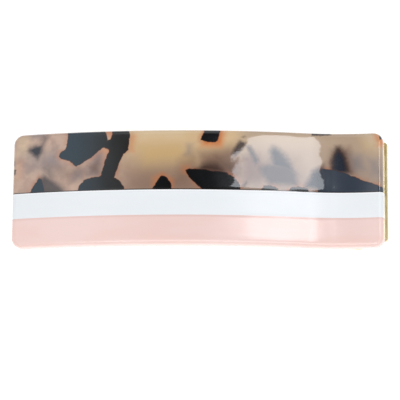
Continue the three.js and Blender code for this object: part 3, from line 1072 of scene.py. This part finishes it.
def convex_distance(shader, place, corners):
    """How far a place lies outside a convex outline; inside it the distance is negative."""
    centre = sum((Vector(corner) for corner in corners), Vector((0, 0))) / len(corners)
    distance = None
    for start, end in zip(corners, corners[1:] + corners[:1]):
        edge = Vector(end) - Vector(start)
        normal = Vector((edge.y, -edge.x)).normalized()
        if normal.dot(centre - Vector(start)) > 0:
            normal = -normal
        plane = (normal.x, normal.y, -normal.dot(Vector(start)))
        beyond = shader.vector("DOT_PRODUCT", place, plane, output=1)
        if distance is None:
            distance = beyond
        else:
            distance = shader.math("SMOOTH_MAX", distance, beyond, CORNER_ROUNDING)
    return distance


def blurred_cover(shader, place, marks):
    """The strongest of some blurred outlines at a place."""
    cover = None
    for blur, strength, corners in marks:
        beyond = convex_distance(shader, place, corners)
        shade = shader.math("MULTIPLY", shader.ramp(beyond, blur, -blur), strength)
        cover = shade if cover is None else shader.math("MAXIMUM", cover, shade)
    return cover


def depth_in_plate(shader, along, height):
    """How deep a place lies below the bowed top face."""
    square = shader.math("POWER", shader.math("DIVIDE", along, HALF_LENGTH), 2.0)
    arch = shader.math("MULTIPLY", shader.math("SUBTRACT", 1.0, square), BOW_RISE)
    beyond = shader.math("SUBTRACT", along, HALF_LENGTH - KICK_LENGTH)
    reach = shader.math("DIVIDE", beyond, KICK_LENGTH)
    kick = shader.math("POWER", shader.math("MAXIMUM", reach, 0.0), 2.0)
    bow = shader.math("MULTIPLY_ADD", kick, KICK_RISE, arch)
    return shader.math("SUBTRACT", shader.math("ADD", bow, PLATE_THICKNESS), height)


def tortoise_acetate():
    shader = acetate("tortoise_acetate")
    place = shader.place_mm()
    along, across, height = shader.parts(place)

    # The marks lean as they go through the thickness.
    depth = depth_in_plate(shader, along, height)
    lean = shader.joined(*(shader.math("MULTIPLY", depth, share) for share in LEAN))
    flat = shader.vector("ADD", shader.joined(along, across, 0.0), lean)

    # Their outlines wander, coarsely and finely.
    coarse = shader.noise(place, 0.42, 2.0, 0.5, colour=True)
    fine = shader.noise(place, 1.7, 2.0, 0.5, colour=True)

    def offset(noise, most):
        return shader.vector("MULTIPLY_ADD", noise, (2 * most, 2 * most, 0), (-most, -most, 0))

    def wandering(most):
        """Places on the plate for convex_distance, with 1 as their third number."""
        moved = shader.vector("ADD", flat, offset(coarse, most))
        moved = shader.parts(shader.vector("ADD", moved, offset(fine, FLUTTER)))
        return shader.joined(moved["X"], moved["Y"], 1.0)

    blurred = wandering(BLURRED_WANDER)
    crisp = wandering(CRISP_WANDER)
    distance = None
    for corners in FLECKS:
        beyond = convex_distance(shader, crisp, corners)
        if distance is None:
            distance = beyond
        else:
            distance = shader.math("SMOOTH_MIN", distance, beyond, FLECK_JOINING)

    def layered(under, layers):
        for marks, tint in layers:
            under = shader.mix(blurred_cover(shader, blurred, marks), under, colour(*tint))
        return under

    # Blonde body, browner toward the seam, with drifts of other tints in it.
    cast = shader.ramp(shader.parts(coarse)["X"], 0.35, 0.65)
    left = shader.mix(cast, colour(198, 167, 147), colour(180, 150, 134))
    low = shader.ramp(shader.math("SUBTRACT", across, WHITE_EDGE), 12.0, 1.0)
    right = shader.mix(low, colour(216, 184, 142), colour(150, 122, 104))
    greyer = shader.math("MULTIPLY", shader.ramp(along, 7.0, 12.0), 0.75)
    right = shader.mix(greyer, right, colour(172, 150, 134))
    body = shader.mix(shader.ramp(along, -24.0, -12.0), left, right)
    body = layered(body, (
        (HONEY, (208, 172, 116)),
        (PALE, (222, 196, 158)),
        (HAZE, (112, 112, 122)),
        (MAUVE, (118, 88, 76)),
        (ORANGE, (218, 128, 62)),
    ))

    # A burnt-orange halo and fringe round the flecks, blurred marks, then the dark cores.
    patchy = shader.ramp(shader.noise(place, 0.5, 1.0), 0.3, 0.65)
    halo = shader.math("MULTIPLY", shader.ramp(distance, HALO_WIDTH, 0.0), HALO_STRENGTH)
    halo = shader.math("MULTIPLY", halo, patchy)
    body = shader.mix(halo, body, colour(180, 112, 78))
    body = shader.mix(shader.ramp(distance, FRINGE_WIDTH, 0.0), body, colour(92, 52, 38))
    body = layered(body, ((BROWN, (58, 40, 34)), (SLATE, (32, 38, 50))))
    core = shader.mix(shader.ramp(along, -30.0, -19.0), colour(14, 44, 58), colour(5, 6, 7))
    core = shader.mix(shader.ramp(along, 20.0, 32.0), core, colour(54, 62, 74))
    body = shader.mix(shader.ramp(distance, CORE_EDGE, -CORE_EDGE), body, core)
    seam = shader.math("SUBTRACT", across, WHITE_EDGE)
    body = shader.mix(shader.ramp(seam, *SEAM_LINE), body, colour(30, 22, 20))
    return polished(shader, place, body)


def plain_acetate(shader, streak, scale, tints, edge_start, edge_end, seam_tint_and_highlight):
    """Streaky one-colour acetate, with another tint where it meets the next stripe: a darker pink
    on the pink, and a painted highlight line on the white.
    """
    place = shader.place_mm()
    cast = shader.noise(shader.vector("MULTIPLY", place, (streak, 1, 1)), scale, 3.0, 0.5)
    body = shader.mix(shader.ramp(cast, 0.35, 0.65), colour(*tints[0]), colour(*tints[1]))
    across = shader.parts(place)["Y"]
    body = shader.mix(shader.ramp(across, edge_start, edge_end), body, colour(*seam_tint_and_highlight))
    return polished(shader, place, body)


def white_acetate():
    return plain_acetate(
        acetate("white_acetate", Coat_Weight=0.06, Coat_Roughness=0.12, Specular_IOR_Level=0.2),
        streak=0.3, scale=0.12, tints=[(240, 243, 245), (244, 246, 248)],
        # The edge tint here is a painted highlight: a brighter line along the white's seam with the
        # tortoise.
        edge_start=WHITE_EDGE - 0.4, edge_end=WHITE_EDGE - 0.15, seam_tint_and_highlight=(254, 254, 255),
    )


def pink_acetate():
    return plain_acetate(
        acetate("pink_acetate", Coat_Roughness=0.17),
        streak=0.25, scale=0.2, tints=[(248, 212, 203), (248, 217, 210)],
        edge_start=PINK_EDGE - 0.7, edge_end=PINK_EDGE - 0.1, seam_tint_and_highlight=(240, 205, 197),
    )


def gold_plate(name, roughness):
    """Thin gold plating on stamped sheet: rolling lines, fine pits and a little tarnish."""
    shader = Shader(name, Metallic=1.0)
    place = shader.place_mm()
    rolling = shader.noise(shader.vector("MULTIPLY", place, (0.15, 3.0, 3.0)), 1.2, 3.0, 0.6)
    tarnish = shader.noise(place, 0.25, 4.0, 0.6)
    body = shader.mix(shader.ramp(tarnish, 0.35, 0.7), colour(243, 226, 178), colour(228, 202, 142))
    uneven = shader.math("MULTIPLY_ADD", rolling, 0.14, roughness - 0.07)
    pits = shader.bump(shader.noise(place, 2.5, 3.0, 0.6), 0.006)
    normal = shader.bump(rolling, 0.003, pits)
    return shader.finished(Base_Color=body, Roughness=uneven, Normal=normal)


def mottled(shader, pattern, start, tints, roughness, more_roughness, depth):
    """A surface whose tint, roughness and bump all follow one pattern."""
    body = shader.mix(shader.ramp(pattern, start, 0.7), colour(*tints[0]), colour(*tints[1]))
    uneven = shader.math("MULTIPLY_ADD", pattern, more_roughness, roughness)
    normal = shader.bump(pattern, depth)
    return shader.finished(Base_Color=body, Roughness=uneven, Normal=normal)


def spring_steel():
    shader = Shader("spring_steel", Metallic=1.0)
    drawn = shader.vector("MULTIPLY", shader.place_mm(), (1, 6, 1))
    return mottled(
        shader, shader.noise(drawn, 1.5, 3.0, 0.6), 0.35, [(208, 206, 200), (170, 167, 160)],
        roughness=0.16, more_roughness=0.2, depth=0.004,
    )


def cured_glue():
    shader = Shader("cured_glue", Specular_IOR_Level=0.4)
    cloudy = shader.noise(shader.place_mm(), 0.7, 3.0, 0.6)
    return mottled(
        shader, cloudy, 0.3, [(226, 222, 206), (240, 238, 228)],
        roughness=0.25, more_roughness=0.3, depth=0.04,
    )


# ---- Pieces ----

finish_piece(
    acetate_bar("tortoise_bar", WHITE_EDGE, HALF_WIDTH),
    tortoise_acetate(), "tortoise_acetate", "tortoise_stripe",
)
finish_piece(
    acetate_bar("white_bar", PINK_EDGE, WHITE_EDGE),
    white_acetate(), "white_acetate", "white_stripe",
)
finish_piece(
    acetate_bar("pink_bar", -HALF_WIDTH, PINK_EDGE),
    pink_acetate(), "pink_acetate", "pink_stripe",
)
finish_piece(glue_film(), cured_glue(), "glue", "adhesive_film")
gold = gold_plate("gold_plate", 0.34)
finish_piece(upper_jaw(), gold, "gold_plate", "upper_jaw")
finish_piece(lower_jaw(), gold, "gold_plate", "lower_jaw", body="lower_half")
finish_piece(hinge_pin(), gold_plate("gold_pin", 0.28), "gold_plate", "hinge_pin")
spring = torsion_spring()
finish_piece(spring, spring_steel(), "spring_steel", "torsion_spring", body=None)
in_frame((PIN.x, SPRING_BLEND_REACH, PIN.y))
in_frame((PIN.x, -SPRING_BLEND_REACH, PIN.y))
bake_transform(spring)

# ---- Floor and light ----

FLOOR_DROP = 21
FLOOR_HALF = 3000
FLOOR_GREY = 0.72
FLOOR_GLOW = 0.5

TENT_TINT = (0.97, 0.985, 1.0)
TENT_LIGHT = 0.9
OPENING_LIGHT = 0.03
OPENING_TOWARD = (-0.03, 0.225, 0.974)
OPENING_ANGLE = math.radians(7)
OPENING_EDGE_ANGLE = math.radians(26)
HORIZON_SHARE = 0.4
HORIZON_TOP = 0.6

# Each light's centre and size in millimetres, its power in watts and its colour.
SOFTBOXES = {
    "overhead_softbox": ((138, 140, 600), (158, 170), 0.475, (0.9, 0.94, 1.0)),
    "front_strip": ((0, -394, 453), (600, 170), 0.75, (1.0, 1.0, 1.0)),
}


def add_floor():
    """A plain pale floor, so low that the opened jaw swings clear of it."""
    signs = [(-1, -1), (1, -1), (1, 1), (-1, 1)]
    corners = [Vector((x * FLOOR_HALF, y * FLOOR_HALF, -FLOOR_DROP)) * MM for x, y in signs]
    mesh = bpy.data.meshes.new("floor")
    mesh.from_pydata(corners, [], [(0, 1, 2, 3)])
    floor = bpy.data.objects.new("floor", mesh)
    bpy.context.scene.collection.objects.link(floor)
    shader = Shader(
        "pale_floor", Roughness=0.6, Specular_IOR_Level=0.2,
        Base_Color=(FLOOR_GREY, FLOOR_GREY, FLOOR_GREY, 1),
        Emission_Color=(1, 1, 1, 1), Emission_Strength=FLOOR_GLOW,
    )
    floor.data.materials.append(shader.material)


def add_surroundings():
    """A white tent, darker at the horizon and in the opening that the camera looks through."""
    world = bpy.data.worlds.new("tent")
    bpy.context.scene.world = world
    world.use_nodes = True
    tent = Nodes(world.node_tree)
    direction = tent.node("ShaderNodeTexCoord").outputs["Generated"]
    toward = Vector(OPENING_TOWARD).normalized()
    nearness = tent.vector("DOT_PRODUCT", direction, toward, output=1)
    light = tent.ramp(
        nearness, math.cos(OPENING_ANGLE), math.cos(OPENING_EDGE_ANGLE),
        OPENING_LIGHT, TENT_LIGHT,
    )
    grade = tent.ramp(tent.parts(direction)["Z"], 0.0, HORIZON_TOP, HORIZON_SHARE, 1.0)
    background = world.node_tree.nodes["Background"]
    tent.put(background.inputs["Strength"], tent.math("MULTIPLY", light, grade))
    tent.put(background.inputs["Color"], (*TENT_TINT, 1))


def add_softbox(name, centre, size, power, tint):
    """A soft rectangular light that faces the barrette."""
    data = bpy.data.lights.new(name, "AREA")
    data.shape = "RECTANGLE"
    data.size = size[0] * MM
    data.size_y = size[1] * MM
    data.energy = power
    data.color = tint
    light = bpy.data.objects.new(name, data)
    bpy.context.scene.collection.objects.link(light)
    light.location = Vector(centre) * MM
    light.rotation_euler = Vector(centre).to_track_quat("Z", "Y").to_euler()


add_floor()
add_surroundings()
for name, settings in SOFTBOXES.items():
    add_softbox(name, *settings)
bpy.context.scene.view_settings.view_transform = "Standard"
